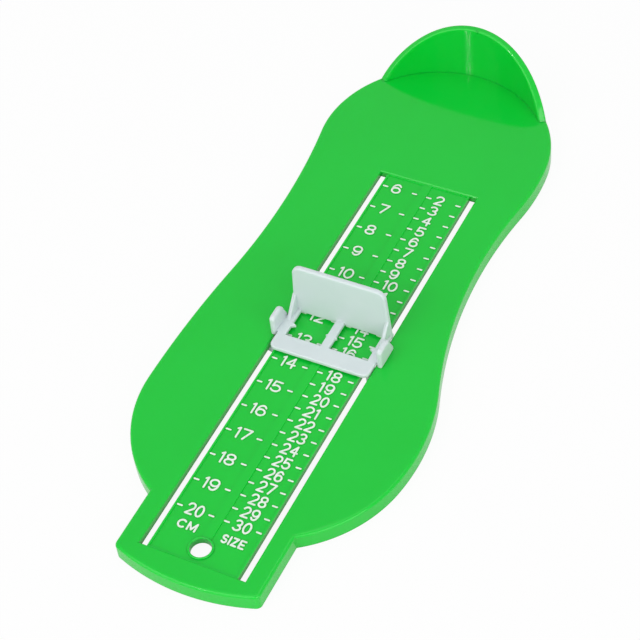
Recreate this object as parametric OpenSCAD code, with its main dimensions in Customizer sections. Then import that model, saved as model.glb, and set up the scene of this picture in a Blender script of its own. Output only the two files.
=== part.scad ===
// Child's foot gauge: a foot-shaped plate with a heel wall, and a marker that slides in two slots.
// Y runs along the scale, towards the heel, and a reading of n millimetres is at y = -n.
// X runs across it from the middle of the slots. Z = 0 is the surface that the plate lies on.
// The finished model is moved so that its origin is the middle of its footprint.

/* [Plate] */
// Height of the plate's top face above the resting surface
plate_top = 5.65; // [4.8:0.05:9]
// Thickness of the plate
plate_t = 2.5; // [2:0.1:3.2]
// Thickness of the skirt round the plate's edge
skirt_t = 1.8; // [1:0.1:3]
// Longest straight step along the outline's arcs
outline_step = 2.5; // [1:0.5:5]

/* [Heel] */
// Radius of the heel
heel_r = 39.15; // [36:0.05:42]
// Distance of the heel's middle to the left of the scale's axis
heel_left = 6.2; // [3:0.05:8]
// Reading at the middle of the heel's round
heel_reading = 37.05; // [34:0.05:40]
// Radius of the flatter arc on the heel's right side
heel_side_r = 77; // [60:1:110]
// Bearing above level at which that arc leaves the heel's round
heel_side_bearing = 5.7; // [0:0.1:12]

/* [Waist] */
// Radius of the hollow on the left side
waist_left_r = 243; // [200:1:300]
// Radius of the hollow on the right side
waist_right_r = 159; // [130:1:200]

/* [Toes] */
// Radius of the toe end's round
toe_r = 44.2; // [42:0.1:48]
// Distance of the toe round's middle to the left of the scale's axis
toe_left = 1.4; // [0:0.1:4]
// Reading at the middle of the toe end's round
toe_reading = 160.8; // [155:0.1:168]
// Radius of the long arc down the left side of the ball
ball_left_r = 375; // [300:1:450]
// Bearing below level at which that arc meets the toe round
ball_left_bearing = 0.7; // [0:0.1:3]
// Radius of the arc down the right side of the ball
ball_right_r = 68; // [60:1:90]
// Bearing below level at which that arc meets the toe round
ball_right_bearing = 10.5; // [5:0.1:15]

/* [Handle tab] */
// Width of the handle tab
tab_w = 46.9; // [44:0.1:60]
// Distance of the tab's middle to the left of the scale's axis
tab_left = 0.2; // [0:0.1:1]
// Radius of the tab's rounded end
tab_end_r = 66; // [50:1:100]
// Reading at the furthest point of the tab's end
tab_end_reading = 224.2; // [223.8:0.1:240]
// Radius of the tab's two corners
tab_corner_r = 2; // [1:0.1:6]

/* [Heel wall] */
// Height of the wall's crest above the resting surface
wall_top = 25.8; // [18:0.1:32]
// Thickness of the wall at its crest
wall_t = 2.4; // [1.4:0.1:3]
// Thickness of the wall at its foot, where its inner face has leaned in
wall_foot_t = 2.75; // [1.4:0.05:3.4]
// Set-back of the wall's outer face from the plate's edge
wall_setback = 0.1; // [0.05:0.05:0.5]
// Radius of the arch that the wall's crest follows
arch_r = 33.5; // [31:0.5:36]

/* [Slots and scale bed] */
// Distance from the scale's axis to the middle of each slot
slot_x = 16; // [15.5:0.1:18]
// Width of each slot
slot_w = 2.6; // [2.2:0.1:3.2]
// Reading at the heel end of the slots
slot_from = 54.6; // [50:0.1:56]
// Distance between the toe end of the slots and the end of the handle tab
slot_end_wall = 7.8; // [7.4:0.1:8.2]
// Drop from the plate's top face to the rails and the rib beside the panels
bed_drop = 0.35; // [0.2:0.05:0.6]
// Further drop from the rails to the floor of the scale panels
panel_drop = 0.35; // [0.2:0.05:0.6]
// Half the width of the rib between the panels
rib_half = 1.5; // [1:0.1:1.6]
// Width of the rail between each panel and its slot
rail_w = 0.65; // [0.4:0.05:0.7]
// Distance between the ends of the slots and the ends of the panels
panel_end_gap = 0.5; // [0.3:0.1:1.5]

/* [Hang hole] */
// Radius of the hang hole
hole_r = 3.2; // [2:0.1:3.6]
// Distance of the hang hole's middle from the toe end of the slots
hole_setback = 5.3; // [4.9:0.1:6.4]
// Width of the raised ring round the hole
ring_w = 0.75; // [0.5:0.05:0.9]
// Height of the ring above the rails
ring_h = 0.2; // [0:0.05:0.3]

/* [Scales] */
// First number of the centimetre scale
cm_first = 6; // [6:1:8]
// Last number of the centimetre scale
cm_last = 20; // [18:1:20]
// First number of the size scale
size_first = 2; // [2:1:6]
// Last number of the size scale
size_last = 30; // [26:1:30]
// Reading of size 0
size_zero = 50; // [48:0.5:52]
// Reading between one size and the next
size_step = 5; // [4.8:0.1:5]
// Length of a tick
tick_len = 1.95; // [1.5:0.05:2]
// Distance from the scale's axis to the middle of the outer ticks
tick_outer_x = 12.97; // [12.9:0.01:13]
// Distance from the scale's axis to the middle of the inner ticks
tick_inner_x = 2.55; // [2.5:0.01:2.8]
// Width of the strokes of ticks and numbers
stroke_w = 0.56; // [0.4:0.02:0.7]

/* [Numbers] */
// Height of a centimetre number
cm_digit_h = 4.3; // [3.6:0.1:4.4]
// Height of a size number
size_digit_h = 4.1; // [3.6:0.1:4.2]
// Left edge of the centimetre numbers
cm_digit_x = -10.6; // [-10.8:0.05:-10.4]
// Left edge of the size numbers
size_digit_x = 4.9; // [4.7:0.05:5]
// Width of a digit that stands alone or after a one, centimetre scale
cm_digit_w = 3.3; // [3:0.05:3.4]
// Width of a digit that stands alone or after a one, size scale
size_digit_w = 3; // [2.8:0.05:3.2]
// Width of the digits of a number from 20 on
narrow_digit_w = 2.6; // [2.4:0.05:2.7]
// Width of a one with its flag
one_w = 1.25; // [1:0.05:1.3]
// Gap between two digits
digit_gap = 0.35; // [0.2:0.05:0.4]
// Gap after a one
one_gap = 0.6; // [0.35:0.05:0.7]
// Left edge of the size scale's unit mark
size_mark_x = 3.9; // [3.7:0.05:4.2]
// Width of the letters of the centimetre scale's unit mark
cm_letter_w = 3; // [2.6:0.1:3]
// Width of the letters of the size scale's unit mark, where an I is one stroke wide
size_letter_w = 2; // [1.7:0.1:2.1]
// Height of the letters of the unit marks
letter_h = 3.1; // [2.6:0.1:3.4]
// Distance of the middle of the unit marks from the toe end of the slots
letter_setback = 10.8; // [10.4:0.1:11.4]

/* [Slider] */
// Reading at the middle of the slider's windows
slider_reading = 126.1; // [75:0.1:190]
// Width of the slider's frame
frame_w = 33.6; // [33.2:0.1:34]
// Thickness of the frame
frame_t = 1.45; // [1.2:0.05:2.5]
// Gap between the plate's top face and the slider
ride_gap = 0.1; // [0.05:0.05:0.2]
// Width of each side bar of the frame
side_bar_w = 2.8; // [2.4:0.1:3.2]
// Width of the bar between the two windows
middle_bar_w = 2.9; // [2:0.1:4]
// Distance of that bar's middle to the left of the frame's middle
middle_bar_left = 0.45; // [0:0.05:0.6]
// Length of the windows along the scale
window_len = 11; // [9:0.1:14]
// Length of the bar in front of the windows, along the scale
front_bar_len = 6.1; // [5:0.1:8]
// Radius of the frame's two corners at that bar
frame_corner_r = 2; // [0.5:0.1:2.5]
// Distance of the pointers from the middle of the windows, towards the toe end
pointer_lead = 0.9; // [0:0.1:1.5]
// Length of the pointers on the side bars
pointer_len = 1.35; // [0.8:0.05:2]
// Width of their roots
pointer_w = 1.7; // [1.2:0.1:2.4]
// Length of the pointers on the middle bar
small_pointer_len = 0.5; // [0.3:0.05:0.8]
// Width of their roots
small_pointer_w = 1; // [0.6:0.1:1.4]

/* [Toe plate] */
// Height of the toe plate's top above the resting surface
toe_plate_top = 25.8; // [18:0.1:30]
// Thickness of the toe plate
toe_plate_t = 1.8; // [1.4:0.1:2.4]
// How much narrower each side of the toe plate is at the top
toe_plate_taper = 1; // [0:0.05:1.4]
// Radius of the toe plate's top corners
toe_plate_corner_r = 3.2; // [1:0.1:5]
// Thickness of the gussets at the ends of the toe plate
gusset_t = 1.2; // [0.8:0.1:1.6]
// Set-back of the gussets from the frame's sides
gusset_setback = 0.4; // [0.1:0.05:0.6]
// Height of the gussets above the frame
gusset_h = 6.6; // [3:0.1:10]
// Length of the gussets along the side bars
gusset_len = 5.5; // [2:0.1:6.5]

/* [Finger tabs] */
// Distance from the frame to the inside of each finger tab
finger_gap = 0.4; // [0.3:0.05:1.5]
// Thickness of the finger tabs
finger_t = 1.9; // [1.2:0.1:2.4]
// Height of the finger tabs above the frame's underside
finger_h = 7.15; // [5:0.05:12]
// Length of the finger tabs at their foot
finger_len = 8.6; // [6.5:0.1:9.5]
// How far the heel edge of a finger tab leans in towards its top
finger_lean = 1.7; // [0:0.1:2]
// Radius of a finger tab's upper heel corner
finger_heel_r = 1.6; // [0.5:0.1:2.2]
// Radius of a finger tab's upper toe corner
finger_toe_r = 0.9; // [0.4:0.1:1.5]
// Distance by which the finger tabs' toe edge stands in front of the windows' edge
finger_lead = 0.4; // [0:0.1:1]

/* [Snap legs] */
// Thickness of the legs
leg_t = 1; // [0.8:0.1:1.2]
// Gap between each leg and the side of its slot that the slider leans towards, which is the right one
leg_gap = 0.15; // [0.15:0.05:0.4]
// Length of each leg along the slot
leg_len = 4.4; // [3:0.1:5]
// Distance of the front legs from the frame's toe edge
leg_setback = 1.5; // [1:0.1:2]
// How far the left hooks reach under the plate, which the slider has moved away from
hook_reach = 0.4; // [0.3:0.05:0.8]
// Gap between the hooks and the plate's underside
hook_gap = 0.15; // [0.1:0.05:0.3]
// Height of the hooks
hook_h = 0.9; // [0.6:0.05:1.2]

/* [Hidden] */
// How far solids of one piece run into each other, and how far a cut runs past the face it opens.
overlap = 0.01;
past = 1;
// One centimetre of the scale.
cm = 10;
// Steps of the arcs that are drawn as points: small corners in mm, strokes and their ends in degrees.
corner_step = 0.45;
bow_step = 24;
end_step = 45;
bed_z = plate_top - bed_drop;
panel_z = bed_z - panel_drop;
under_z = plate_top - plate_t;
slot_in = slot_x - slot_w / 2;
slot_out = slot_x + slot_w / 2;
panel_out = slot_in - rail_w;
slot_to = tab_end_reading - slot_end_wall;
hole_reading = slot_to - hole_setback;
letter_reading = slot_to - letter_setback;
frame_under = plate_top + ride_gap;
frame_top = frame_under + frame_t;
frame_half = frame_w / 2;
window_half = window_len / 2;
frame_front = -window_half - front_bar_len;
window_out = frame_half - side_bar_w;
middle_from = -middle_bar_left - middle_bar_w / 2;
middle_to = middle_from + middle_bar_w;
leg_in = slot_x - leg_t / 2;
leg_out = slot_x + leg_t / 2;
slider_shift = leg_in - slot_in - leg_gap;
hook_top = under_z - hook_gap;

// Points of an arc, given by its middle, radius and two bearings.
function arc(c, r, a, b, step) =
    let(n = max(2, ceil(abs(b - a) * PI / 180 * r / step)))
    [for (i = [0:n]) c + r * [cos(a + (b - a) * i / n), sin(a + (b - a) * i / n)]];

// Bearing of one point from another, from -180 to 180 degrees, and the same from 0 to 360.
function bearing(from, to) = atan2(to.y - from.y, to.x - from.x);
function full_bearing(from, to) = (bearing(from, to) + 360) % 360;

// The middle of a circle that is da from point a and db from point b, on the right of the way from a to b.
function apex(a, b, da, db) =
    let(d = norm(b - a), u = (b - a) / d, along = (da * da - db * db + d * d) / (2 * d))
    a + u * along + [u.y, -u.x] * sqrt(da * da - along * along);

// Middle of an arc of radius r that touches a round of radius r0 about c0 from inside, at a bearing.
function around(c0, r0, r, a) = c0 - (r - r0) * [cos(a), sin(a)];

heel_c = [-heel_left, -heel_reading];
toe_c = [-toe_left, -toe_reading];
tab_c = [-tab_left, tab_end_r - tab_end_reading];
tab_half = tab_w / 2;
side_c = around(heel_c, heel_r, heel_side_r, heel_side_bearing);
ball_right_c = around(toe_c, toe_r, ball_right_r, -ball_right_bearing);
ball_left_c = around(toe_c, toe_r, ball_left_r, 180 + ball_left_bearing);
waist_right_c = apex(ball_right_c, side_c, ball_right_r + waist_right_r, heel_side_r + waist_right_r);
waist_left_c = apex(heel_c, ball_left_c, heel_r + waist_left_r, ball_left_r + waist_left_r);
mid_x = (ball_right_c.x + ball_right_r + ball_left_c.x - ball_left_r) / 2;
mid_y = (heel_c.y + heel_r - tab_end_reading) / 2;

// The plate's outline, drawn in by d all round, anticlockwise from the tab's left corner.
function outline(d) =
    let(
        s = outline_step,
        half = tab_half - d,
        corner_r = max(tab_corner_r - d, overlap),
        corner_x = tab_half - tab_corner_r,
        corner_y = tab_c.y - sqrt(pow(tab_end_r - tab_corner_r, 2) - corner_x * corner_x),
        corner_a = bearing([0, tab_c.y], [corner_x, corner_y]),
        right_a = -acos((half + tab_c.x - toe_c.x) / (toe_r - d)),
        left_a = 180 + acos((half - tab_c.x + toe_c.x) / (toe_r - d))
    )
    concat(
        arc(tab_c, tab_end_r - d, -180 - corner_a, corner_a, s),
        arc([tab_c.x + corner_x, corner_y], corner_r, corner_a, 0, corner_step),
        arc(toe_c, toe_r - d, right_a, -ball_right_bearing, s),
        arc(ball_right_c, ball_right_r - d, -ball_right_bearing, bearing(ball_right_c, waist_right_c), s),
        arc(waist_right_c, waist_right_r + d, full_bearing(waist_right_c, ball_right_c),
            full_bearing(waist_right_c, side_c), s),
        arc(side_c, heel_side_r - d, bearing(side_c, waist_right_c), heel_side_bearing, s),
        arc(heel_c, heel_r - d, heel_side_bearing, full_bearing(heel_c, waist_left_c), s),
        arc(waist_left_c, waist_left_r + d, bearing(waist_left_c, heel_c),
            bearing(waist_left_c, ball_left_c), s),
        arc(ball_left_c, ball_left_r - d, full_bearing(ball_left_c, waist_left_c),
            180 + ball_left_bearing, s),
        arc(toe_c, toe_r - d, 180 + ball_left_bearing, left_a, s),
        arc([tab_c.x - corner_x, corner_y], corner_r, 180, 180 - corner_a, corner_step)
    );

module in_frame() {
    translate([-mid_x, -mid_y, 0]) children();
}

// A block between two corners.
module block(low, high) {
    translate(low) cube(high - low);
}

// A shape drawn across the part, X to the right and Z up, that runs from y = back to y = back + t.
module across(back, t) {
    translate([0, back + t, 0]) rotate([90, 0, 0]) linear_extrude(t) children();
}

// A shape drawn along the part, Y to the right and Z up, that runs from x = side to x = side + t.
module along(side, t) {
    translate([side, 0, 0]) rotate([90, 0, 90]) linear_extrude(t) children();
}

module both_sides() {
    children();
    mirror([1, 0, 0]) children();
}

// ---- the plate ----

module shell() {
    difference() {
        linear_extrude(plate_top) polygon(outline(0));
        translate([0, 0, -overlap]) linear_extrude(under_z + overlap) polygon(outline(skirt_t));
    }
}

// Radius of the wall's inner face at a height.
function wall_inner_r(z) =
    let(slope = (wall_foot_t - wall_t) / (wall_top - plate_top))
    heel_r - wall_setback - wall_t - slope * (wall_top - z);

// The wall that the heel rests against: part of a ring, under an arch.
module heel_wall() {
    low = under_z + overlap;
    cut_low = low - past;
    cut_high = wall_top + past;
    translate([heel_c.x, heel_c.y, 0]) intersection() {
        difference() {
            translate([0, 0, low]) cylinder(r = heel_r - wall_setback, h = wall_top - low + overlap, $fn = 180);
            translate([0, 0, cut_low])
                cylinder(r1 = wall_inner_r(cut_low), r2 = wall_inner_r(cut_high), h = cut_high - cut_low, $fn = 180);
        }
        translate([0, 0, wall_top - arch_r]) rotate([-90, 0, 0])
            cylinder(r = arch_r, h = heel_r + past, $fn = 180);
    }
}

module scale_bed() {
    from = -slot_from - panel_end_gap;
    to = -slot_to + panel_end_gap;
    top = plate_top + past;
    block([-slot_out, -slot_to, bed_z], [slot_out, -slot_from, top]);
    both_sides() block([rib_half, to, panel_z], [panel_out, from, top]);
    block([-rib_half - overlap, to, panel_z], [rib_half + overlap, -hole_reading, top]);
}

module slots() {
    both_sides() block([slot_in, -slot_to, -past], [slot_out, -slot_from, plate_top + past]);
}

module hole_ring() {
    translate([0, -hole_reading, under_z + overlap])
        cylinder(r = hole_r + ring_w, h = bed_z + ring_h - under_z - overlap, $fn = 96);
}

module hang_hole() {
    translate([0, -hole_reading, -past]) cylinder(r = hole_r, h = plate_top + 2 * past, $fn = 96);
}

module base_plate() color("limegreen") in_frame() {
    difference() {
        union() {
            difference() {
                shell();
                scale_bed();
            }
            heel_wall();
            hole_ring();
        }
        slots();
        hang_hole();
    }
}

// ---- marks: strokes of one width with round ends ----

// An arc of an ellipse, as points in a glyph's own box, which is 1 wide and 1 high.
function bow(cx, cy, rx, ry, a, b) =
    let(n = ceil(abs(b - a) / bow_step))
    [for (i = [0:n]) [cx + rx * cos(a + (b - a) * i / n), cy + ry * sin(a + (b - a) * i / n)]];

// The strokes of a glyph. A closed stroke's last point is its first again.
function glyph(c) =
    c == "0" ? [bow(0.5, 0.5, 0.5, 0.5, 0, 360)]
    : c == "1" ? [[[0, 0.86], [1, 1]], [[1, 1], [1, 0]]]
    : c == "2" ? [concat(bow(0.5, 0.7, 0.5, 0.3, 165, -30), [[0, 0]]), [[0, 0], [1, 0]]]
    : c == "3" ? [bow(0.46, 0.75, 0.46, 0.25, 150, -90), bow(0.46, 0.25, 0.54, 0.25, 90, -150)]
    : c == "4" ? [[[0.72, 0], [0.72, 1]], [[0.72, 1], [0, 0.34]], [[0, 0.34], [1, 0.34]]]
    : c == "5" ? [[[0.94, 1], [0.12, 1], [0.04, 0.5]], bow(0.46, 0.31, 0.54, 0.31, 142, -150)]
    : c == "6" ? [bow(0.5, 0.31, 0.5, 0.31, 0, 360), bow(0.5, 0.5, 0.5, 0.5, 202, 40)]
    : c == "7" ? [[[0, 1], [1, 1]], [[1, 1], [0.36, 0]]]
    : c == "8" ? [bow(0.5, 0.76, 0.45, 0.24, 0, 360), bow(0.5, 0.26, 0.5, 0.26, 0, 360)]
    : c == "9" ? [bow(0.5, 0.69, 0.5, 0.31, 0, 360), bow(0.5, 0.5, 0.5, 0.5, 22, -140)]
    : c == "C" ? [bow(0.5, 0.5, 0.5, 0.5, 48, 312)]
    : c == "M" ? [[[0, 0], [0, 1]], [[0, 1], [0.5, 0.12]], [[0.5, 0.12], [1, 1]], [[1, 1], [1, 0]]]
    : c == "S" ? [bow(0.5, 0.75, 0.46, 0.25, 30, 270), bow(0.5, 0.25, 0.5, 0.25, 90, -150)]
    : c == "I" ? [[[0, 0], [0, 1]]]
    : c == "Z" ? [[[0, 1], [1, 1]], [[1, 1], [0, 0]], [[0, 0], [1, 0]]]
    : c == "E" ? [[[0, 0], [0, 1]], [[0, 1], [1, 1]], [[0, 0.5], [0.85, 0.5]], [[0, 0], [1, 0]]]
    : [];

function unit(v) = v / norm(v);
function square_to(v) = [-v.y, v.x];

// Point i of a stroke's edge, d to the left of its path, with square corners where the path turns.
function edge_point(p, i, d) =
    let(
        n = len(p) - 1,
        closed = norm(p[n] - p[0]) < overlap,
        before = i > 0 ? unit(p[i] - p[i - 1]) : closed ? unit(p[n] - p[n - 1]) : unit(p[1] - p[0]),
        after = i < n ? unit(p[i + 1] - p[i]) : closed ? unit(p[1] - p[0]) : before,
        side = square_to(unit(before + after))
    )
    p[i] + side * d / (side * square_to(before));

function edge(p, d) = [for (i = [0:len(p) - 1]) edge_point(p, i, d)];

function reversed(p) = [for (i = [len(p) - 1:-1:0]) p[i]];

// Points of the round end of a stroke that stops at a, coming from b.
function round_end(a, b, r) =
    let(t = bearing(b, a))
    [for (turn = [end_step - 90:end_step:90 - end_step]) a + r * [cos(t + turn), sin(t + turn)]];

module stroke(p) {
    r = stroke_w / 2;
    n = len(p) - 1;
    if (norm(p[n] - p[0]) < overlap) {
        difference() {
            polygon([for (i = [0:n - 1]) edge_point(p, i, -r)]);
            polygon([for (i = [0:n - 1]) edge_point(p, i, r)]);
        }
    } else {
        there = concat(edge(p, -r), round_end(p[n], p[n - 1], r));
        polygon(concat(there, reversed(edge(p, r)), round_end(p[0], p[1], r)));
    }
}

// A glyph whose lower left corner is at a place on the scale bed.
module mark(c, place, w, h) {
    size = [max(w - stroke_w, 0), h - stroke_w];
    translate([place.x + stroke_w / 2, place.y + stroke_w / 2, panel_z]) linear_extrude(bed_z - panel_z)
        for (path = glyph(c)) stroke([for (q = path) [q.x * size.x, q.y * size.y]]);
}

// A row of glyphs with their widths, from x onwards, centred on a reading.
module row(chars, widths, x, reading, h) {
    last = len(chars) - 1;
    steps = [for (i = [0:last]) widths[i] + (chars[i] == "1" ? one_gap : digit_gap)];
    for (i = [0:last]) {
        before = i == 0 ? 0 : [for (j = [0:i - 1]) 1] * [for (j = [0:i - 1]) steps[j]];
        mark(chars[i], [x + before, -reading - h / 2], widths[i], h);
    }
}

// A number. A one is narrow, and so are other digits from 20 on, so that they fit the same room.
module number(n, x, reading, h, w) {
    chars = str(n);
    each_w = n >= 20 && n % 10 != 1 ? narrow_digit_w : w;
    row(chars, [for (c = chars) c == "1" ? one_w : each_w], x, reading, h);
}

module tick(x, reading) {
    half = (tick_len - stroke_w) / 2;
    translate([x, -reading, panel_z]) linear_extrude(bed_z - panel_z) stroke([[-half, 0], [half, 0]]);
}

module cm_ticks() color("white") in_frame() {
    for (n = [cm_first:cm_last], x = [tick_inner_x, tick_outer_x]) tick(-x, cm * n);
}

module cm_numerals() color("white") in_frame() {
    for (n = [cm_first:cm_last]) number(n, cm_digit_x, cm * n, cm_digit_h, cm_digit_w);
}

module size_ticks() color("white") in_frame() {
    for (n = [size_first:size_last], x = [tick_inner_x, tick_outer_x]) tick(x, size_zero + size_step * n);
}

module size_numerals() color("white") in_frame() {
    for (n = [size_first:size_last])
        number(n, size_digit_x, size_zero + size_step * n, size_digit_h, size_digit_w);
}

module unit_marks() color("white") in_frame() {
    w = size_letter_w;
    row("CM", [cm_letter_w, cm_letter_w], cm_digit_x, letter_reading, letter_h);
    row("SIZE", [w, stroke_w, w, w], size_mark_x, letter_reading, letter_h);
}

// ---- the slider, drawn with the middle of its windows at y = 0 and of its frame at x = 0 ----

function frame_outline() =
    let(
        r = frame_corner_r,
        right = concat(
            arc([frame_half - r, frame_front + r], r, -90, 0, corner_step),
            [[frame_half, window_half + toe_plate_t]]
        )
    )
    concat(right, [for (p = reversed(right)) [-p.x, p.y]]);

module frame() {
    translate([0, 0, frame_under]) linear_extrude(frame_t) difference() {
        polygon(frame_outline());
        for (window = [[-window_out, middle_from], [middle_to, window_out]])
            translate([window[0], -window_half]) square([window[1] - window[0], window_len]);
    }
}

// A pointer on the edge x of a bar. Its length is below 0 where it points to the left.
module pointer(x, len, w) {
    root = x - sign(len) * overlap;
    translate([0, -pointer_lead, frame_under]) linear_extrude(frame_t)
        polygon([[root, -w / 2], [x + len, 0], [root, w / 2]]);
}

module pointers() {
    pointer(-window_out, pointer_len, pointer_w);
    pointer(middle_from, -small_pointer_len, small_pointer_w);
    pointer(middle_to, small_pointer_len, small_pointer_w);
    pointer(window_out, -pointer_len, pointer_w);
}

// The upright plate that the toes touch.
module toe_plate() {
    r = toe_plate_corner_r;
    top = frame_half - toe_plate_taper;
    right = concat([[frame_half, frame_under]], arc([top - r, toe_plate_top - r], r, 0, 90, corner_step));
    across(window_half, toe_plate_t) polygon(concat(right, [for (p = reversed(right)) [-p.x, p.y]]));
}

module gusset() {
    along(frame_half - gusset_setback - gusset_t, gusset_t) polygon([
        [window_half + overlap, frame_top - overlap],
        [window_half + overlap, frame_top + gusset_h],
        [window_half - gusset_len, frame_top - overlap]
    ]);
}

module finger_tab() {
    toe_y = -window_half - finger_lead;
    heel_y = toe_y + finger_len;
    top = frame_under + finger_h;
    face = frame_half + finger_gap;
    block([frame_half - overlap, toe_y, frame_under], [face + overlap, heel_y, frame_top]);
    along(face, finger_t) polygon(concat(
        [[toe_y, frame_under], [heel_y, frame_under], [heel_y, frame_top]],
        arc([heel_y - finger_lean - finger_heel_r, top - finger_heel_r], finger_heel_r, 0, 90, corner_step),
        arc([toe_y + finger_toe_r, top - finger_toe_r], finger_toe_r, 90, 180, corner_step)
    ));
}

// A leg that passes through the slot, with a hook that catches under the plate.
module snap_leg(from) {
    tip = slot_out + slider_shift + hook_reach;
    foot = hook_top - hook_h;
    across(from, leg_len) polygon([
        [leg_in, frame_under + overlap], [leg_in, foot], [leg_out, foot], [tip, hook_top - hook_h / 3],
        [tip, hook_top], [leg_out, hook_top], [leg_out, frame_under + overlap]
    ]);
}

module slider() color("white") in_frame() translate([slider_shift, -slider_reading, 0]) {
    frame();
    pointers();
    toe_plate();
    both_sides() {
        gusset();
        finger_tab();
        snap_leg(frame_front + leg_setback);
        snap_leg(window_half - leg_len);
    }
}

base_plate();
slider();
cm_ticks();
cm_numerals();
size_ticks();
size_numerals();
unit_marks();
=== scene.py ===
"""A child's foot gauge: a green foot-shaped plate with a heel wall, and a white marker that slides along it.

Lengths are in millimetres, in the same scale frame as the solids: Y runs along the scale towards the heel, a
reading of n is at y = -n, X runs across from the middle of the slots, and Z = 0 is the table. to_row() turns
them into the row's frame, in metres.
"""

import math

import bmesh
import bpy
from mathutils import Matrix, Vector
from mathutils.geometry import tessellate_polygon


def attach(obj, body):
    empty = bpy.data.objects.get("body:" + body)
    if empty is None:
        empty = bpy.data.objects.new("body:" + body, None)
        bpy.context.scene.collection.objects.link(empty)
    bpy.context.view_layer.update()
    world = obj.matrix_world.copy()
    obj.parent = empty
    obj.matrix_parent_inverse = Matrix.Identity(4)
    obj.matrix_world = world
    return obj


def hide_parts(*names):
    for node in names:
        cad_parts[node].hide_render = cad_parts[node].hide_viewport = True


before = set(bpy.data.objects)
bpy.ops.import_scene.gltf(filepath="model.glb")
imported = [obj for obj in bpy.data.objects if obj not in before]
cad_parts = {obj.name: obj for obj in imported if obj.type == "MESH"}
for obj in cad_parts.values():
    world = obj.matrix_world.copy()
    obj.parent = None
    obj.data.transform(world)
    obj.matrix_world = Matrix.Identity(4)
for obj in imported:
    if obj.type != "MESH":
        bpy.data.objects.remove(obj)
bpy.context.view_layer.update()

# ---- sizes, in millimetres ----

PLATE_TOP = 5.65
UNDERSIDE = 3.15
SKIRT = 1.8
EDGE_ROUND = 0.9
FOOT_ROUND = 0.25
BED = 5.3
PANEL = 4.95
SLOT_IN, SLOT_OUT = 14.7, 17.3
PANEL_OUT = 14.05
PANEL_END_GAP = 0.5
RIB_HALF = 1.5
RIB_TO_HOLE = 3.45  # from the rib's end to the middle of the hole
PANEL_LEAN = 0.06  # how far a panel's wall leans out between its floor and the bed
LIP = 0.3

HEEL_R, HEEL = 39.15, (-6.2, -37.05)
SIDE_R, SIDE_BEARING = 77.0, 5.7
WAIST_LEFT_R, WAIST_RIGHT_R = 243.0, 159.0
TOE_R, TOE = 44.2, (-1.4, -160.8)
BALL_LEFT_R, BALL_LEFT_BEARING = 375.0, 0.7
BALL_RIGHT_R, BALL_RIGHT_BEARING = 68.0, 10.5
TAB_X, TAB_HALF, TAB_END_R, TAB_END, TAB_CORNER_R = -0.2, 23.45, 66.0, 224.2, 2.0
OUTLINE_STEP, TOE_STEPS, TAB_CORNER_STEPS, SMALLEST_R = 1.2, 24, 8, 0.05

WALL_TOP, WALL_T, WALL_ROUND = 25.8, 2.4, 0.7
WALL_FOOT = PLATE_TOP - EDGE_ROUND + 0.02  # in the plate, just above where its edge starts to round
WALL_DRAFT = math.tan(math.radians(1))  # how much the inner face leans out
ARCH_R, ARCH_STEPS, ARCH_END_LIFT = 33.5, 96, 0.1
GATE_MARK, GATE_MARK_R = (-5.6, -0.15, 25.25), 0.5

SLOT_FROM, SLOT_TO = 54.6, TAB_END - 7.8
HOLE_R, HOLE_READING, RING_W, RING_TOP = 3.2, SLOT_TO - 5.3, 0.75, 5.5
RING_ROUND, RING_FOOT, BORE_BEHIND_RING = 0.36, UNDERSIDE - 0.03, 0.1

TICK_LEN, STROKE = 1.95, 0.56
TICK_COLUMNS = (2.55, 12.97)
TICK_EDGE = ((0, 0.12), (0.035, 0.04), (0.12, 0))  # inset and drop of the soft edge round a tick's top

WINDOW_READING, SLIDER_SHIFT = 126.1, 0.65
FRAME_HALF, FRAME_UNDER, FRAME_TOP, FRAME_CORNER_R = 16.8, 5.75, 7.2, 2.0
WINDOW_HALF, FRONT_BAR, SIDE_BAR, MIDDLE_BAR = 5.5, 6.1, 2.8, (-1.9, 1.0)
POINTER_Y, POINTER_LEN, POINTER_HALF, SMALL_LEN, SMALL_HALF = -0.9, 1.35, 0.85, 0.5, 0.5
TOE_PLATE_TOP, TOE_PLATE_T, TOE_PLATE_TAPER, TOE_PLATE_CORNER = 25.8, 1.8, 1.0, 3.2
GUSSET_T, GUSSET_SETBACK, GUSSET_H, GUSSET_LEN, GUSSET_SINK = 1.2, 0.4, 6.6, 5.5, 0.7
FINGER_GAP, FINGER_T, FINGER_H, FINGER_LEN = 0.4, 1.9, 7.15, 8.6
FINGER_LEAD, FINGER_LEAN, FINGER_HEEL_R, FINGER_TOE_R = 0.4, 1.7, 2.3, 1.4
LEG_IN, LEG_OUT, LEG_LEN, LEG_SETBACK, LEG_SINK = 15.5, 16.5, 4.4, 1.5, 0.5
HOOK_TIP, HOOK_TOP, HOOK_H = SLOT_OUT + SLIDER_SHIFT + 0.4, 3.0, 0.9
FRAME_ROUND, TOE_PLATE_ROUND, FINGER_ROUND, GUSSET_ROUND, LEG_ROUND = 0.4, 0.6, 0.75, 0.35, 0.12

# ---- the picture and the finishes ----

PHOTO_SIDE = 640  # pixels
TABLE_WHITE, TABLE_IN_GLOSS = 0.94, 0.5  # how much of the table is plain white, to the camera and in gloss
NOISE_SPAN = (0.3, 0.7)  # where most of a noise's values lie

# ---- plane geometry ----


def polar(c, r, degrees):
    a = math.radians(degrees)
    return (c[0] + r * math.cos(a), c[1] + r * math.sin(a))


def bearing(a, b):
    return math.degrees(math.atan2(b[1] - a[1], b[0] - a[0]))


def around(c, r0, r, degrees):
    """Middle of an arc of radius r that touches the round (c, r0) from inside at a bearing."""
    return polar(c, r0 - r, degrees)


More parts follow.
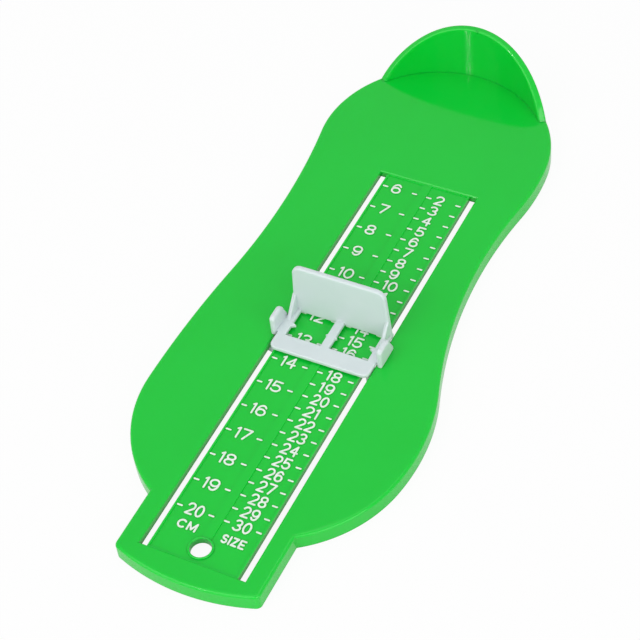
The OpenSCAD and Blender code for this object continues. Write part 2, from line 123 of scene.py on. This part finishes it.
def apex(a, b, da, db):
    """The point da from a and db from b, on the right of the way from a to b."""
    d = math.dist(a, b)
    u = ((b[0] - a[0]) / d, (b[1] - a[1]) / d)
    along = (da * da - db * db + d * d) / (2 * d)
    off = math.sqrt(da * da - along * along)
    return (a[0] + u[0] * along + u[1] * off, a[1] + u[1] * along - u[0] * off)


SIDE = around(HEEL, HEEL_R, SIDE_R, SIDE_BEARING)
BALL_RIGHT = around(TOE, TOE_R, BALL_RIGHT_R, -BALL_RIGHT_BEARING)
BALL_LEFT = around(TOE, TOE_R, BALL_LEFT_R, 180 + BALL_LEFT_BEARING)
WAIST_RIGHT = apex(BALL_RIGHT, SIDE, BALL_RIGHT_R + WAIST_RIGHT_R, SIDE_R + WAIST_RIGHT_R)
WAIST_LEFT = apex(HEEL, BALL_LEFT, HEEL_R + WAIST_LEFT_R, BALL_LEFT_R + WAIST_LEFT_R)
TAB = (TAB_X, TAB_END_R - TAB_END)
MID = (
    (BALL_RIGHT[0] + BALL_RIGHT_R + BALL_LEFT[0] - BALL_LEFT_R) / 2,
    (HEEL[1] + HEEL_R - TAB_END) / 2,
)


def to_row(x, y, z):
    return Vector((x - MID[0], y - MID[1], z)) * 0.001


def arc(c, r, a, b, n):
    """n + 1 points of an arc."""
    return [polar(c, r, a + (b - a) * i / n) for i in range(n + 1)]


def foot_outline(d):
    """The plate's outline drawn in by d, with the same number of points for every d."""
    across = TAB_HALF - TAB_CORNER_R
    corner_y = TAB[1] - math.sqrt((TAB_END_R - TAB_CORNER_R) ** 2 - across ** 2)
    right_corner, left_corner = (TAB_X + across, corner_y), (TAB_X - across, corner_y)
    corner_a = bearing(TAB, right_corner)
    corner_r = max(TAB_CORNER_R - d, SMALLEST_R)
    half = TAB_HALF - d
    right_a = -math.degrees(math.acos((half + TAB_X - TOE[0]) / (TOE_R - d)))
    left_a = 180 + math.degrees(math.acos((half - TAB_X + TOE[0]) / (TOE_R - d)))
    waist_right_from = bearing(WAIST_RIGHT, BALL_RIGHT) % 360
    waist_right_to = bearing(WAIST_RIGHT, SIDE) % 360
    arcs = [
        (TAB, TAB_END_R, -1, -180 - corner_a, corner_a),
        (right_corner, None, -1, corner_a, 0),
        (TOE, TOE_R, -1, right_a, -BALL_RIGHT_BEARING),
        (BALL_RIGHT, BALL_RIGHT_R, -1, -BALL_RIGHT_BEARING, bearing(BALL_RIGHT, WAIST_RIGHT)),
        (WAIST_RIGHT, WAIST_RIGHT_R, 1, waist_right_from, waist_right_to),
        (SIDE, SIDE_R, -1, bearing(SIDE, WAIST_RIGHT), SIDE_BEARING),
        (HEEL, HEEL_R, -1, SIDE_BEARING, bearing(HEEL, WAIST_LEFT) % 360),
        (WAIST_LEFT, WAIST_LEFT_R, 1, bearing(WAIST_LEFT, HEEL), bearing(WAIST_LEFT, BALL_LEFT)),
        (BALL_LEFT, BALL_LEFT_R, -1, bearing(BALL_LEFT, WAIST_LEFT) % 360, 180 + BALL_LEFT_BEARING),
        (TOE, TOE_R, -1, 180 + BALL_LEFT_BEARING, left_a),
        (left_corner, None, -1, 180, 180 - corner_a),
    ]
    points = []
    for c, r, sign, a, b in arcs:
        if r is None:
            points += arc(c, corner_r, a, b, TAB_CORNER_STEPS)[:-1]
            continue
        n = round(abs(math.radians(b - a)) * r / OUTLINE_STEP / 4) * 4
        # The arcs that meet the tab's sides have a fixed number of steps. The left one keeps its last point.
        at_tab = c is TOE
        n = TOE_STEPS if at_tab else n
        points += arc(c, r + sign * d, a, b, n)[: None if at_tab and a > 0 else -1]
    return points


def box_loop(x0, y0, x1, y1):
    return [(x0, y0), (x1, y0), (x1, y1), (x0, y1)]


def signed_area(loop):
    return sum(a[0] * b[1] - b[0] * a[1] for a, b in zip(loop, loop[1:] + loop[:1])) / 2


def drawn_in(loop, d):
    """A loop drawn in by d all round, with mitred corners."""
    turn = 1 if signed_area(loop) > 0 else -1
    out = []
    for before, p, after in zip(loop[-1:] + loop[:-1], loop, loop[1:] + loop[:1]):
        u = (Vector(p) - Vector(before)).normalized()
        v = (Vector(after) - Vector(p)).normalized()
        nu, nv = Vector((-u.y, u.x)) * turn, Vector((-v.y, v.x)) * turn
        out.append(tuple(Vector(p) + (nu + nv) * (d / (1 + nu.dot(nv)))))
    return out


# ---- mesh building ----


class Shell:
    """A closed surface built from loops. place turns (u, v, w) into (x, y, z) in the scale frame."""

    def __init__(self, place=lambda u, v, w: (u, v, w)):
        self.bm = bmesh.new()
        self.place = place

    def ring(self, loop, w):
        return [self.bm.verts.new(to_row(*self.place(u, v, w))) for u, v in loop]

    def band(self, a, b):
        """Faces between two rings of the same number of points."""
        n = len(a)
        for i in range(n):
            self.bm.faces.new((a[i], a[(i + 1) % n], b[(i + 1) % n], b[i]))

    def cover(self, rings):
        """A flat face inside the first ring and outside the others."""
        flat = [v for ring in rings for v in ring]
        for tri in tessellate_polygon([[v.co for v in ring] for ring in rings]):
            corners = [flat[i] for i in tri]
            if len(set(corners)) == 3:
                self.bm.faces.new(corners)

    def mesh(self, name):
        bmesh.ops.remove_doubles(self.bm, verts=self.bm.verts, dist=1e-7)
        bmesh.ops.recalc_face_normals(self.bm, faces=self.bm.faces)
        mesh = bpy.data.meshes.new(name)
        self.bm.to_mesh(mesh)
        self.bm.free()
        return mesh


def new_piece(name, mesh):
    piece = bpy.data.objects.new(name, mesh)
    bpy.context.scene.collection.objects.link(piece)
    return piece


def evaluated(piece):
    """Bakes the modifiers of a piece into its mesh."""
    bpy.context.view_layer.update()
    graph = bpy.context.evaluated_depsgraph_get()
    baked = bpy.data.meshes.new_from_object(piece.evaluated_get(graph), depsgraph=graph)
    piece.modifiers.clear()
    piece.data = baked
    return piece


def fused(name, meshes):
    """The union of closed meshes, as one piece."""
    piece = new_piece(name, meshes[0])
    helpers = [new_piece(f"{name}_{i}", mesh) for i, mesh in enumerate(meshes[1:])]
    for helper in helpers:
        joint = piece.modifiers.new("union", "BOOLEAN")
        joint.operation = "UNION"
        joint.solver = "EXACT"
        joint.object = helper
    evaluated(piece)
    for helper in helpers:
        bpy.data.objects.remove(helper)
    return piece


def joined(name, meshes):
    """Closed meshes together in one piece, each kept whole."""
    both = bmesh.new()
    for mesh in meshes:
        both.from_mesh(mesh)
        bpy.data.meshes.remove(mesh)
    whole = bpy.data.meshes.new(name)
    both.to_mesh(whole)
    both.free()
    return new_piece(name, whole)


def smooth(piece, sharp_degrees=40):
    """Smooth shading that keeps flat faces flat and edges sharper than the angle hard."""
    mesh = piece.data
    mesh.shade_smooth()
    mesh.set_sharp_from_angle(angle=math.radians(sharp_degrees))
    weigh = piece.modifiers.new("weigh", "WEIGHTED_NORMAL")
    weigh.keep_sharp = True
    weigh.weight = 100
    return evaluated(piece)


def quarter(r, steps=4):
    """Points of a rounded edge, as (inset, drop), from the side face to the flat face."""
    turns = [math.radians(90 * i / steps) for i in range(steps + 1)]
    return [(r * (1 - math.cos(t)), r * (1 - math.sin(t))) for t in turns]


def rounded_slab(name, loop, holes, low, high, r, place=lambda u, v, w: (u, v, w)):
    """A plate of the loop's shape from w = low to high, with its edges rounded by r."""
    shell = Shell(place)
    profile = [(i, high - drop) for i, drop in quarter(r)]
    profile = [(i, low + drop) for i, drop in reversed(quarter(r))] + profile
    ends = [[], []]
    for n, outline in enumerate([loop] + holes):
        # A hole's edge is rounded outwards, into the slab around it.
        rings = [shell.ring(drawn_in(outline, i if n == 0 else -i), w) for i, w in profile]
        for a, b in zip(rings, rings[1:]):
            shell.band(a, b)
        ends[0].append(rings[0])
        ends[1].append(rings[-1])
    for end in ends:
        shell.cover(end)
    return shell.mesh(name)


# ---- the green moulding ----


def panel_loop(e):
    """The two scale panels and the floor round the hole in one loop, drawn out by e."""
    top, bottom = -SLOT_FROM - PANEL_END_GAP + e, -SLOT_TO + PANEL_END_GAP - e
    out, rib, rib_end = PANEL_OUT + e, RIB_HALF - e, -HOLE_READING + RIB_TO_HOLE + e
    return [
        (-out, bottom), (out, bottom), (out, top), (rib, top), (rib, rib_end),
        (-rib, rib_end), (-rib, top), (-out, top),
    ]


def plate_mesh():
    shell = Shell()
    # The skirt's section as (inset, height), from the underside round its foot and up to the top face.
    foot, rim = quarter(FOOT_ROUND, 3), quarter(EDGE_ROUND, 6)
    section = [(SKIRT, UNDERSIDE)] + [(SKIRT - i, drop) for i, drop in foot]
    section += [(i, drop) for i, drop in reversed(foot)] + [(i, PLATE_TOP - drop) for i, drop in rim]
    rings = [shell.ring(foot_outline(d), z) for d, z in section]
    for a, b in zip(rings, rings[1:]):
        shell.band(a, b)
    lip = shell.ring(drawn_in(box_loop(-SLOT_OUT, -SLOT_TO, SLOT_OUT, -SLOT_FROM), -LIP), PLATE_TOP)
    shell.cover([rings[-1], lip])
    # The sunk bed: its wall, the strip between the slots, and the slots down to the underside.
    x = [-SLOT_OUT, -SLOT_IN, SLOT_IN, SLOT_OUT]
    eight = [(x[0], -SLOT_TO), (x[1], -SLOT_TO), (x[2], -SLOT_TO), (x[3], -SLOT_TO)]
    eight += [(px, -SLOT_FROM) for px, _ in reversed(eight)]
    rim = shell.ring(eight, PLATE_TOP - LIP)
    for i, (start, stop) in enumerate([(0, 3), (3, 4), (4, 7), (7, 8)]):
        run = [rim[k % 8] for k in range(start, stop + 1)]
        shell.bm.faces.new([lip[(i + 1) % 4], lip[i]] + run)
    bed = shell.ring(eight, BED)
    shell.band(rim, bed)
    under = []
    for a, b, c, d in ((0, 1, 6, 7), (2, 3, 4, 5)):
        mouth = [bed[a], bed[b], bed[c], bed[d]]
        foot = shell.ring([eight[i] for i in (a, b, c, d)], UNDERSIDE)
        shell.band(mouth, foot)
        under.append(foot)
    edge = shell.ring(panel_loop(PANEL_LEAN), BED)
    floor = shell.ring(panel_loop(0), PANEL)
    shell.cover([[bed[1], bed[2], bed[5], bed[6]], edge])
    shell.band(edge, floor)
    # The plate's bore is a little wider than the ring's, so the ring's wall hides it.
    bore = arc((0, -HOLE_READING), HOLE_R + BORE_BEHIND_RING, 0, 360, 48)[:-1]
    bore_top, bore_foot = shell.ring(bore, PANEL), shell.ring(bore, UNDERSIDE)
    shell.cover([floor, bore_top])
    shell.band(bore_top, bore_foot)
    shell.cover([rings[0], bore_foot] + under)
    return shell.mesh("plate")


def heel_wall_mesh():
    """The wall under its arch. The arch is cut square to the wall, the rim is rounded on both sides, and the
    inner face leans out."""
    shell = Shell()
    axis_z = WALL_TOP - ARCH_R
    rounds = quarter(WALL_ROUND, 5)
    # The rim's section, from the inner face to the outer one: radius, lean, and drop from the crest.
    section = [(HEEL_R - WALL_T + i, WALL_DRAFT, drop) for i, drop in rounds]
    section += [(HEEL_R - i, 0, drop) for i, drop in reversed(rounds)]

    def vertex(radius, lean, x, z):
        """A point of the wall at a radius, where x is that of the point beyond it on the outer face."""
        z = max(z, WALL_FOOT)
        r = radius - lean * (WALL_TOP - z)
        turn = math.asin(x / HEEL_R)
        return shell.bm.verts.new(to_row(HEEL[0] + r * math.sin(turn), HEEL[1] + r * math.cos(turn), z))

    reach = math.degrees(math.acos((WALL_FOOT + ARCH_END_LIFT - axis_z) / ARCH_R))
    columns = []
    for k in range(ARCH_STEPS + 1):
        a = math.radians(reach * (2 * k / ARCH_STEPS - 1))
        rim = [(radius, lean, (ARCH_R - drop) * math.sin(a), axis_z + (ARCH_R - drop) * math.cos(a))
               for radius, lean, drop in section]
        feet = [(*rim[i][:3], WALL_FOOT) for i in (0, -1)]
        columns.append([vertex(*p) for p in feet[:1] + rim + feet[1:]])
    for a, b in zip(columns, columns[1:]):
        shell.band(a, b)
    shell.bm.faces.new(columns[0])
    shell.bm.faces.new(columns[-1])
    return shell.mesh("heel_wall")


def gate_mark_mesh():
    """The stub that the mould's gate leaves on the inner edge of the wall's crest."""
    shell = Shell()
    bmesh.ops.create_icosphere(shell.bm, subdivisions=3, radius=GATE_MARK_R * 0.001)
    bmesh.ops.translate(shell.bm, verts=shell.bm.verts, vec=to_row(*GATE_MARK))
    return shell.mesh("gate_mark")


def hole_ring_mesh():
    shell = Shell()
    r0, r1 = HOLE_R, HOLE_R + RING_W
    rounds = quarter(RING_ROUND, 3)
    profile = [(r0, RING_FOOT)] + [(r0 + i, RING_TOP - drop) for i, drop in rounds]
    profile += [(r1 - i, RING_TOP - drop) for i, drop in reversed(rounds)] + [(r1, RING_FOOT)]
    rings = [shell.ring(arc((0, -HOLE_READING), r, 0, 360, 64)[:-1], z) for r, z in profile]
    for a, b in zip(rings, rings[1:] + rings[:1]):
        shell.band(a, b)
    return shell.mesh("hole_ring")


# ---- the white marker, drawn with the middle of its windows at y = 0 and of its frame at x = 0 ----


def on_slider(x, y, z):
    return (x + SLIDER_SHIFT, y - WINDOW_READING, z)


def across_slider(u, v, w):
    """u to the right, v up, w towards the heel."""
    return on_slider(u, w, v)


def along_slider(u, v, w):
    """u towards the heel, v up, w to the right."""
    return on_slider(w, u, v)


def frame_loop():
    """The frame seen from above, with the lugs that carry the finger tabs."""
    front, back = -WINDOW_HALF - FRONT_BAR, WINDOW_HALF + TOE_PLATE_T
    corner = (FRAME_HALF - FRAME_CORNER_R, front + FRAME_CORNER_R)
    lug_out = FRAME_HALF + FINGER_GAP + FINGER_T / 2
    lug_toe = -WINDOW_HALF - FINGER_LEAD + FINGER_ROUND
    lug_heel = lug_toe + FINGER_LEN - 2 * FINGER_ROUND
    right = arc(corner, FRAME_CORNER_R, -90, 0, 6) + [
        (FRAME_HALF, lug_toe), (lug_out, lug_toe), (lug_out, lug_heel), (FRAME_HALF, lug_heel),
        (FRAME_HALF, back),
    ]
    return right + [(-x, y) for x, y in reversed(right)]


def window_loop(left, left_pointer, right, right_pointer):
    """A window with a pointer on each of its long sides, each given by its length and half its width."""
    (left_len, left_half), (right_len, right_half) = left_pointer, right_pointer
    return [
        (left, -WINDOW_HALF), (right, -WINDOW_HALF),
        (right, POINTER_Y - right_half), (right - right_len, POINTER_Y), (right, POINTER_Y + right_half),
        (right, WINDOW_HALF), (left, WINDOW_HALF),
        (left, POINTER_Y + left_half), (left + left_len, POINTER_Y), (left, POINTER_Y - left_half),
    ]


def toe_plate_loop():
    top = FRAME_HALF - TOE_PLATE_TAPER
    corner = (top - TOE_PLATE_CORNER, TOE_PLATE_TOP - TOE_PLATE_CORNER)
    right = [(FRAME_HALF, FRAME_UNDER)] + arc(corner, TOE_PLATE_CORNER, 0, 90, 8)
    return right + [(-x, z) for x, z in reversed(right)]


def finger_loop():
    toe = -WINDOW_HALF - FINGER_LEAD
    heel, top = toe + FINGER_LEN, FRAME_UNDER + FINGER_H
    heel_corner = (heel - FINGER_LEAN - FINGER_HEEL_R, top - FINGER_HEEL_R)
    toe_corner = (toe + FINGER_TOE_R, top - FINGER_TOE_R)
    loop = [(toe, FRAME_UNDER), (heel, FRAME_UNDER), (heel, FRAME_TOP)]
    return loop + arc(heel_corner, FINGER_HEEL_R, 0, 90, 6) + arc(toe_corner, FINGER_TOE_R, 90, 180, 5)


def gusset_loop():
    """The gusset runs into the toe plate and down into the side bar."""
    root, foot = WINDOW_HALF + TOE_PLATE_T / 2, FRAME_TOP - GUSSET_SINK
    return [
        (root, foot), (root, FRAME_TOP + GUSSET_H), (WINDOW_HALF, FRAME_TOP + GUSSET_H),
        (WINDOW_HALF - GUSSET_LEN, FRAME_TOP), (WINDOW_HALF - GUSSET_LEN, foot),
    ]


def leg_loop(side):
    root, foot = FRAME_UNDER + LEG_SINK, HOOK_TOP - HOOK_H
    loop = [
        (LEG_IN, root), (LEG_IN, foot), (LEG_OUT, foot), (HOOK_TIP, HOOK_TOP - HOOK_H / 3),
        (HOOK_TIP, HOOK_TOP), (LEG_OUT, HOOK_TOP), (LEG_OUT, root),
    ]
    return [(side * x, z) for x, z in loop]


def slider_meshes():
    out = FRAME_HALF - SIDE_BAR
    large, small = (POINTER_LEN, POINTER_HALF), (SMALL_LEN, SMALL_HALF)
    windows = [window_loop(-out, large, MIDDLE_BAR[0], small), window_loop(MIDDLE_BAR[1], small, out, large)]
    back = WINDOW_HALF + TOE_PLATE_T
    parts = [
        rounded_slab("frame", frame_loop(), windows, FRAME_UNDER, FRAME_TOP, FRAME_ROUND, on_slider),
        rounded_slab("toe_plate", toe_plate_loop(), [], WINDOW_HALF, back, TOE_PLATE_ROUND, across_slider),
    ]
    for side in (-1, 1):
        face = FRAME_HALF + FINGER_GAP
        span = sorted((side * face, side * (face + FINGER_T)))
        parts.append(rounded_slab("finger_tab", finger_loop(), [], *span, FINGER_ROUND, along_slider))
        face = FRAME_HALF - GUSSET_SETBACK
        span = sorted((side * face, side * (face - GUSSET_T)))
        parts.append(rounded_slab("gusset", gusset_loop(), [], *span, GUSSET_ROUND, along_slider))
        for start in (LEG_SETBACK - WINDOW_HALF - FRONT_BAR, WINDOW_HALF - LEG_LEN):
            span = (start, start + LEG_LEN)
            parts.append(rounded_slab("leg", leg_loop(side), [], *span, LEG_ROUND, across_slider))
    return parts


# ---- the scale's ticks, repeated by a node tree ----


def tick_tree(material):
    """Repeats the piece's own mesh at every point of two columns of a scale."""
    tree = bpy.data.node_groups.new("tick_columns", "GeometryNodeTree")
    face = tree.interface
    face.new_socket("Geometry", in_out="INPUT", socket_type="NodeSocketGeometry")
    for name, kind in (("Count", "Int"), ("Pitch", "Float"), ("First", "Vector"), ("Second", "Vector")):
        face.new_socket(name, in_out="INPUT", socket_type=f"NodeSocket{kind}")
    face.new_socket("Geometry", in_out="OUTPUT", socket_type="NodeSocketGeometry")
    new, link = tree.nodes.new, tree.links.new
    inputs, output = new("NodeGroupInput"), new("NodeGroupOutput")
    offset = new("ShaderNodeCombineXYZ")
    down = new("ShaderNodeMath")
    down.operation = "MULTIPLY"
    down.inputs[1].default_value = -1
    link(inputs.outputs["Pitch"], down.inputs[0])
    link(down.outputs[0], offset.inputs["Y"])
    both = new("GeometryNodeJoinGeometry")
    for start in ("Second", "First"):
        column = new("GeometryNodeMeshLine")
        link(inputs.outputs["Count"], column.inputs["Count"])
        link(inputs.outputs[start], column.inputs["Start Location"])
        link(offset.outputs[0], column.inputs["Offset"])
        link(column.outputs[0], both.inputs[0])
    repeat = new("GeometryNodeInstanceOnPoints")
    link(both.outputs[0], repeat.inputs["Points"])
    link(inputs.outputs["Geometry"], repeat.inputs["Instance"])
    real = new("GeometryNodeRealizeInstances")
    link(repeat.outputs[0], real.inputs[0])
    paint = new("GeometryNodeSetMaterial")
    paint.inputs["Material"].default_value = material
    link(real.outputs[0], paint.inputs["Geometry"])
    link(paint.outputs[0], output.inputs[0])
    return tree


def tick_outline():
    half, r = TICK_LEN / 2 - STROKE / 2, STROKE / 2
    return arc((half, 0), r, -90, 90, 6) + arc((-half, 0), r, 90, 270, 6)


def tick_columns(name, side, first, pitch, count, material):
    shape = Shell(lambda u, v, w: (u + MID[0], v + MID[1], w))
    levels = [(0, PANEL)] + [(i, BED - drop) for i, drop in TICK_EDGE]
    rings = [shape.ring(drawn_in(tick_outline(), i), z) for i, z in levels]
    for a, b in zip(rings, rings[1:]):
        shape.band(a, b)
    shape.cover([rings[0]])
    shape.cover([rings[-1]])
    piece = new_piece(name, shape.mesh(name))
    repeat = piece.modifiers.new("ticks", "NODES")
    repeat.node_group = tick_tree(material)
    starts = [to_row(side * x, -first, 0) for x in TICK_COLUMNS]
    values = {"Count": count, "Pitch": pitch * 0.001, "First": starts[0], "Second": starts[1]}
    for item in repeat.node_group.interface.items_tree:
        if item.in_out == "INPUT" and item.name in values:
            repeat[item.identifier] = values[item.name]
    evaluated(piece)
    return smooth(piece)


# ---- materials ----


def material(name):
    made = bpy.data.materials.new(name)
    made.use_nodes = True
    return made, made.node_tree.nodes, made.node_tree.links, made.node_tree.nodes["Principled BSDF"]


def object_noise(nodes, links, scale, detail=2, roughness=0.5):
    where = nodes.new("ShaderNodeTexCoord")
    noise = nodes.new("ShaderNodeTexNoise")
    noise.inputs["Scale"].default_value = scale
    noise.inputs["Detail"].default_value = detail
    noise.inputs["Roughness"].default_value = roughness
    links.new(where.outputs["Object"], noise.inputs["Vector"])
    return noise.outputs["Fac"]


def spread(nodes, links, source, low, high):
    """Maps a noise to the values from low to high."""
    span = nodes.new("ShaderNodeMapRange")
    span.inputs["From Min"].default_value = NOISE_SPAN[0]
    span.inputs["From Max"].default_value = NOISE_SPAN[1]
    span.inputs["To Min"].default_value = low
    span.inputs["To Max"].default_value = high
    links.new(source, span.inputs["Value"])
    return span.outputs["Result"]


def two_tone(nodes, links, source, a, b):
    mix = nodes.new("ShaderNodeMix")
    mix.data_type = "RGBA"
    links.new(source, mix.inputs["Factor"])
    mix.inputs["A"].default_value = (*a, 1)
    mix.inputs["B"].default_value = (*b, 1)
    return mix.outputs["Result"]


def bumped(nodes, links, shader, heights, strength, depth_mm):
    bump = nodes.new("ShaderNodeBump")
    bump.inputs["Strength"].default_value = strength
    bump.inputs["Distance"].default_value = depth_mm * 0.001
    links.new(heights, bump.inputs["Height"])
    links.new(bump.outputs["Normal"], shader.inputs["Normal"])


def glossy_green():
    """Polished moulding in a saturated green, with the slow waves that a thin moulded plate has."""
    made, nodes, links, shader = material("glossy_green_moulding")
    drift = spread(nodes, links, object_noise(nodes, links, 22, 3), 0, 1)
    greens = two_tone(nodes, links, drift, (0.002, 0.55, 0.036), (0.003, 0.58, 0.04))
    links.new(greens, shader.inputs["Base Color"])
    scuff = object_noise(nodes, links, 700, 4, 0.6)
    links.new(spread(nodes, links, scuff, 0.08, 0.13), shader.inputs["Roughness"])
    bumped(nodes, links, shader, object_noise(nodes, links, 90, 2), 0.25, 0.02)
    shader.inputs["IOR"].default_value = 1.48
    shader.inputs["Subsurface Weight"].default_value = 0.45
    shader.inputs["Subsurface Radius"].default_value = (0.5, 1.0, 0.5)
    shader.inputs["Subsurface Scale"].default_value = 0.0025
    return made


def milky_white():
    """Slightly blue white moulding that lets a little light through."""
    made, nodes, links, shader = material("milky_white_moulding")
    drift = spread(nodes, links, object_noise(nodes, links, 60, 3), 0, 1)
    whites = two_tone(nodes, links, drift, (0.63, 0.705, 0.72), (0.67, 0.735, 0.75))
    links.new(whites, shader.inputs["Base Color"])
    scuff = object_noise(nodes, links, 500, 3)
    links.new(spread(nodes, links, scuff, 0.28, 0.38), shader.inputs["Roughness"])
    bumped(nodes, links, shader, object_noise(nodes, links, 300, 3), 0.2, 0.02)
    shader.inputs["IOR"].default_value = 1.46
    shader.inputs["Subsurface Weight"].default_value = 0.35
    shader.inputs["Subsurface Radius"].default_value = (1.0, 1.0, 1.0)
    shader.inputs["Subsurface Scale"].default_value = 0.0012
    return made


def stamped_foil():
    """White foil on the tops of the raised marks. Their sides stay green, and the foil is a little worn."""
    made, nodes, links, shader = material("stamped_white_foil")
    where = nodes.new("ShaderNodeTexCoord")
    split = nodes.new("ShaderNodeSeparateXYZ")
    links.new(where.outputs["Object"], split.inputs[0])
    level = nodes.new("ShaderNodeMapRange")
    level.inputs["From Min"].default_value = (BED - 0.2) * 0.001
    level.inputs["From Max"].default_value = (BED - 0.1) * 0.001
    links.new(split.outputs["Z"], level.inputs["Value"])
    wear = spread(nodes, links, object_noise(nodes, links, 900, 3, 0.6), 0.72, 1)
    cover = nodes.new("ShaderNodeMath")
    cover.operation = "MULTIPLY"
    links.new(level.outputs["Result"], cover.inputs[0])
    links.new(wear, cover.inputs[1])
    green_to_white = two_tone(nodes, links, cover.outputs[0], (0.01, 0.50, 0.035), (0.90, 0.93, 0.91))
    links.new(green_to_white, shader.inputs["Base Color"])
    scuff = object_noise(nodes, links, 1200, 2)
    links.new(spread(nodes, links, scuff, 0.35, 0.5), shader.inputs["Roughness"])
    bumped(nodes, links, shader, object_noise(nodes, links, 1500, 2), 0.2, 0.01)
    return made


def paint(piece, made):
    piece.data.materials.clear()
    piece.data.materials.append(made)


# ---- the pieces ----

green, white, foil = glossy_green(), milky_white(), stamped_foil()

gauge = smooth(joined("gauge_plate", [plate_mesh(), heel_wall_mesh(), gate_mark_mesh(), hole_ring_mesh()]))
paint(gauge, green)
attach(gauge, "base")
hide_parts("base_plate")

marker = smooth(fused("toe_marker", slider_meshes()))
paint(marker, white)
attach(marker, "marker")
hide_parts("slider")

for name, node, side, first, pitch, count in (
    ("centimetre_ticks", "cm_ticks", -1, 60, 10, 15),
    ("shoe_size_ticks", "size_ticks", 1, 60, 5, 29),
):
    ticks = tick_columns(name, side, first, pitch, count, foil)
    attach(ticks, "base")
    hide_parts(node)

for node in ("cm_numerals", "size_numerals", "unit_marks"):
    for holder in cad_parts[node].material_slots:
        holder.material = foil

# ---- the table, the light and the camera ----


def table():
    size = 3.0
    mesh = bpy.data.meshes.new("table")
    corners = [(-size, -size, 0), (size, -size, 0), (size, size, 0), (-size, size, 0)]
    mesh.from_pydata(corners, [], [(0, 1, 2, 3)])
    top = new_piece("table", mesh)
    made, nodes, links, shader = material("pale_paper")
    shader.inputs["Base Color"].default_value = (0.8, 0.8, 0.8, 1)
    shader.inputs["Roughness"].default_value = 0.8
    glow = nodes.new("ShaderNodeEmission")
    blend = nodes.new("ShaderNodeMixShader")
    path = nodes.new("ShaderNodeLightPath")
    # The paper is white to the camera, and less so in the gloss of the mouldings.
    seen = nodes.new("ShaderNodeMath")
    seen.operation = "MULTIPLY"
    seen.inputs[1].default_value = TABLE_WHITE
    links.new(path.outputs["Is Camera Ray"], seen.inputs[0])
    share = nodes.new("ShaderNodeMath")
    share.operation = "MULTIPLY_ADD"
    share.inputs[1].default_value = TABLE_IN_GLOSS
    links.new(path.outputs["Is Glossy Ray"], share.inputs[0])
    links.new(seen.outputs[0], share.inputs[2])
    links.new(share.outputs[0], blend.inputs[0])
    links.new(shader.outputs[0], blend.inputs[1])
    links.new(glow.outputs[0], blend.inputs[2])
    links.new(blend.outputs[0], nodes["Material Output"].inputs["Surface"])
    paint(top, made)


def area_light(name, place, aim, size, power):
    data = bpy.data.lights.new(name, "AREA")
    data.shape = "RECTANGLE"
    data.size, data.size_y = size
    data.energy = power
    lamp = bpy.data.objects.new(name, data)
    bpy.context.scene.collection.objects.link(lamp)
    lamp.location = place
    lamp.rotation_euler = (Vector(aim) - Vector(place)).to_track_quat("-Z", "Y").to_euler()


def light():
    world = bpy.data.worlds.new("studio")
    bpy.context.scene.world = world
    world.use_nodes = True
    nodes, links = world.node_tree.nodes, world.node_tree.links
    room = nodes["Background"]
    room.inputs["Color"].default_value = (1, 1, 1, 1)
    room.inputs["Strength"].default_value = 0.62
    backdrop = nodes.new("ShaderNodeBackground")
    backdrop.inputs["Strength"].default_value = 1
    path = nodes.new("ShaderNodeLightPath")
    blend = nodes.new("ShaderNodeMixShader")
    links.new(path.outputs["Is Camera Ray"], blend.inputs[0])
    links.new(room.outputs[0], blend.inputs[1])
    links.new(backdrop.outputs[0], blend.inputs[2])
    links.new(blend.outputs[0], nodes["World Output"].inputs["Surface"])
    # The lamp in the middle of the softbox is what draws the bright line down the inside of the heel wall.
    area_light("softbox", (-0.374, -1.15, 1.062), (0, 0, 0), (1.6, 1.6), 10.2)
    area_light("softbox_lamp", (-0.3675, -1.127, 1.042), (0, 0, 0), (0.08, 0.08), 1.15)
    area_light("overhead", (0, 0.3, 1.6), (0, 0, 0), (1.0, 1.0), 2.4)
    area_light("right_fill", (1.3, -0.8, 0.6), (0, 0, 0), (1.2, 0.8), 8)


def camera():
    """The photograph's viewpoint, from the ticks of its scale."""
    data = bpy.data.cameras.new("photo_view")
    data.sensor_width = 36
    data.lens = 112.01
    data.clip_start, data.clip_end = 0.01, 20
    # Half a pixel: the ticks were read at the middles of the photograph's pixels.
    data.shift_x, data.shift_y = -0.5 / PHOTO_SIDE, 0.5 / PHOTO_SIDE
    view = bpy.data.objects.new("photo_view", data)
    bpy.context.scene.collection.objects.link(view)
    right = Vector((0.89210898, 0.44308485, -0.08841594))
    down = Vector((0.27990973, -0.69560237, -0.66165542))
    ahead = Vector((-0.35467183, 0.56552026, -0.74457688))
    turn = Matrix((right, -down, -ahead)).transposed()
    view.matrix_world = Matrix.Translation((0.213613, -0.35929, 0.46506)) @ turn.to_4x4()
    bpy.context.scene.camera = view


table()
light()
camera()
bpy.context.scene.view_settings.view_transform = "Standard"
